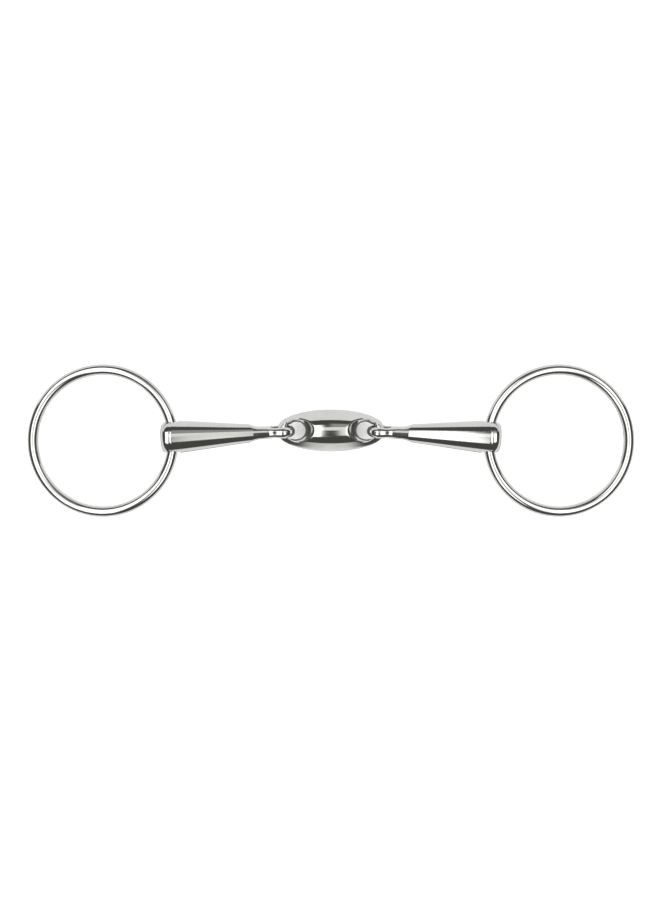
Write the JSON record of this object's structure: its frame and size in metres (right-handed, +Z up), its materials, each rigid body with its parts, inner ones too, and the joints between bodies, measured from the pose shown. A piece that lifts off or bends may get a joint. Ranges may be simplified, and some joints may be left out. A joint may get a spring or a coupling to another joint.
{
  "type": "snaffle bit",
  "caption": "Loose-ring snaffle bit: round-wire rings run through two tapered cannons whose eyes fold on the end bars of an oval centre link.",
  "frame": {"origin": "on the surface that the bit lies on, at the middle of its bounding box", "axes": "+X along the mouthpiece towards the right ring, +Y towards the side that the centre link bows to, +Z up from the surface"},
  "size_m": [0.2612, 0.0654, 0.0144],
  "materials": {
    "polished_steel": "mirror-polished stainless steel"
  },
  "bodies": {
    "link": {"lozenge": "polished_steel"},
    "cannon_left": {"cannon_left": "polished_steel"},
    "cannon_right": {"cannon_right": "polished_steel"},
    "ring_left": {"ring_left": "polished_steel"},
    "ring_right": {"ring_right": "polished_steel"}
  },
  "joints": [
    {"name": "fold_left", "type": "hinge", "parent": "link", "child": "cannon_left", "pos_m": [-0.0206, 0.00378, 0.0072], "axis": [0, 1, 0], "range_deg": [-50, 50]},
    {"name": "fold_right", "type": "hinge", "parent": "link", "child": "cannon_right", "pos_m": [0.0206, 0.00378, 0.0072], "axis": [0, -1, 0], "range_deg": [-50, 50]},
    {"name": "swivel_left", "type": "hinge", "parent": "cannon_left", "child": "ring_left", "pos_m": [-0.068, 0.00146, 0.0072], "axis": [-0.0488, 0.9988, 0], "range_deg": [-85, 95]},
    {"name": "swivel_right", "type": "hinge", "parent": "cannon_right", "child": "ring_right", "pos_m": [0.068, 0.00146, 0.0072], "axis": [-0.0488, -0.9988, 0], "range_deg": [-85, 95]}
  ]
}
